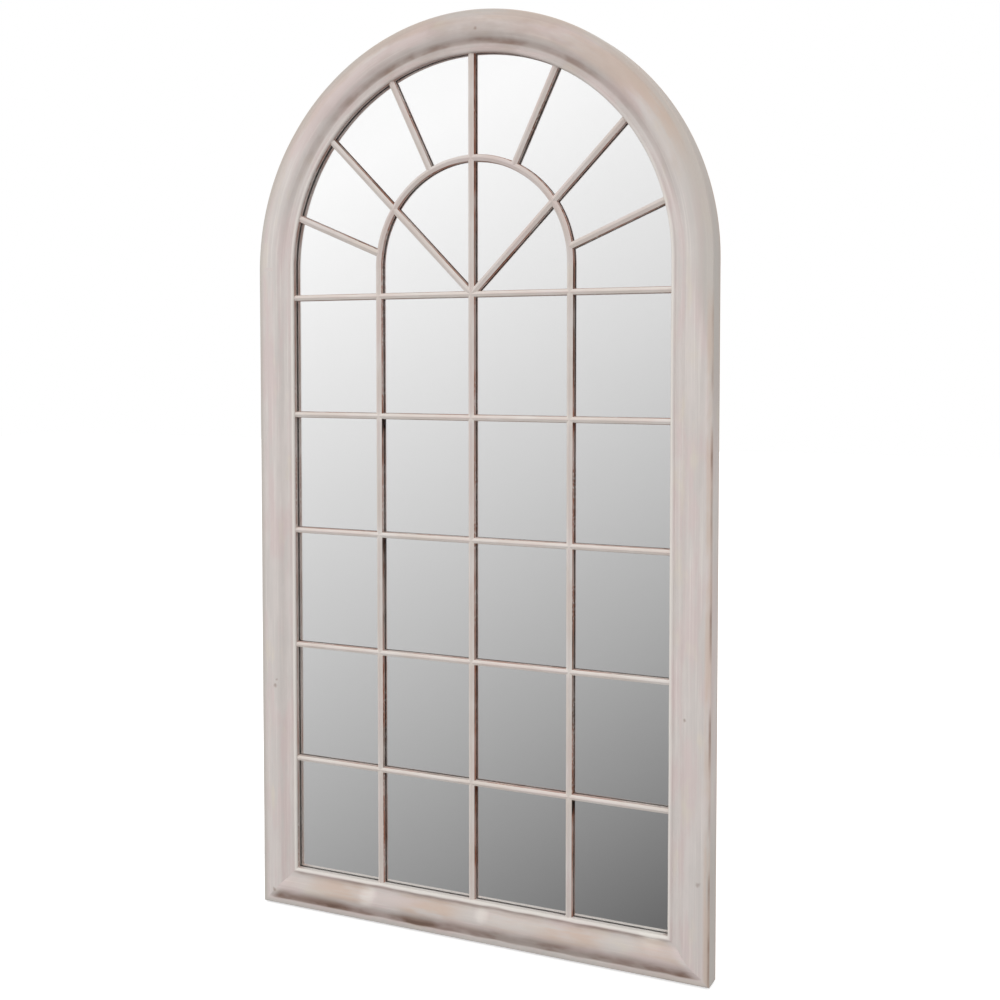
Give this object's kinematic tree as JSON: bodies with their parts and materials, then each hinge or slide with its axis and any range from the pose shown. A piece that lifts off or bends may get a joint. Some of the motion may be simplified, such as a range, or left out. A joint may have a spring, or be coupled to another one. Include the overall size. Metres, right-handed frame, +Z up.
{
  "type": "arched window mirror",
  "caption": "Tall round-headed wall mirror in a whitewashed timber window frame, with glazing bars, a fan in the arch and hanging rings.",
  "frame": {"origin": "on the wall plane, midway between the two hooks that the hanging rings go over", "axes": "+X to the right seen from the front, +Y into the wall (the mirror faces -Y), +Z up"},
  "size_m": [0.6, 0.037, 1.12],
  "materials": {
    "whitewashed_timber": "whitewash over brown stain, rubbed through at the edges, matt",
    "mirror_pane": "clear silvered glass",
    "hardboard": "smooth brown hardboard",
    "zinc_plated_steel": "bright zinc plate",
    "black_rubber": "matt"
  },
  "bodies": {
    "frame": {"bottom_rail": "whitewashed_timber", "left_jamb": "whitewashed_timber", "right_jamb": "whitewashed_timber", "arch_left": "whitewashed_timber", "arch_right": "whitewashed_timber", "left_mullion": "whitewashed_timber", "centre_mullion": "whitewashed_timber", "right_mullion": "whitewashed_timber", "transom_1": "whitewashed_timber", "transom_2": "whitewashed_timber", "transom_3": "whitewashed_timber", "transom_4": "whitewashed_timber", "transom_5": "whitewashed_timber", "inner_arch": "whitewashed_timber", "fan_bar_1": "whitewashed_timber", "fan_bar_2": "whitewashed_timber", "fan_bar_3": "whitewashed_timber", "fan_bar_4": "whitewashed_timber", "fan_bar_5": "whitewashed_timber", "fan_bar_6": "whitewashed_timber", "mirror_glass": "mirror_pane", "backing_board": "hardboard", "board_clip_left_1": "zinc_plated_steel", "board_clip_right_1": "zinc_plated_steel", "board_clip_left_2": "zinc_plated_steel", "board_clip_right_2": "zinc_plated_steel", "board_clip_bottom_1": "zinc_plated_steel", "board_clip_bottom_2": "zinc_plated_steel", "board_clip_arch_1": "zinc_plated_steel", "board_clip_arch_2": "zinc_plated_steel", "clip_screw_left_1": "zinc_plated_steel", "clip_screw_right_1": "zinc_plated_steel", "clip_screw_left_2": "zinc_plated_steel", "clip_screw_right_2": "zinc_plated_steel", "clip_screw_bottom_1": "zinc_plated_steel", "clip_screw_bottom_2": "zinc_plated_steel", "clip_screw_arch_1": "zinc_plated_steel", "clip_screw_arch_2": "zinc_plated_steel", "hanger_screw_left_1": "zinc_plated_steel", "hanger_screw_left_2": "zinc_plated_steel", "hanger_screw_right_1": "zinc_plated_steel", "hanger_screw_right_2": "zinc_plated_steel", "left_hanger_strap": "zinc_plated_steel", "right_hanger_strap": "zinc_plated_steel", "lower_left_pad": "black_rubber", "upper_left_pad": "black_rubber", "lower_right_pad": "black_rubber", "upper_right_pad": "black_rubber"},
    "left_ring": {"left_hanging_ring": "zinc_plated_steel"},
    "right_ring": {"right_hanging_ring": "zinc_plated_steel"}
  },
  "joints": [
    {"name": "left_ring_swing", "type": "hinge", "parent": "frame", "child": "left_ring", "pos_m": [-0.279, -0.00305, 0], "axis": [1, 0, 0], "range_deg": [0, 180]},
    {"name": "right_ring_swing", "type": "hinge", "parent": "frame", "child": "right_ring", "pos_m": [0.279, -0.00305, 0], "axis": [1, 0, 0], "range_deg": [0, 180]}
  ]
}
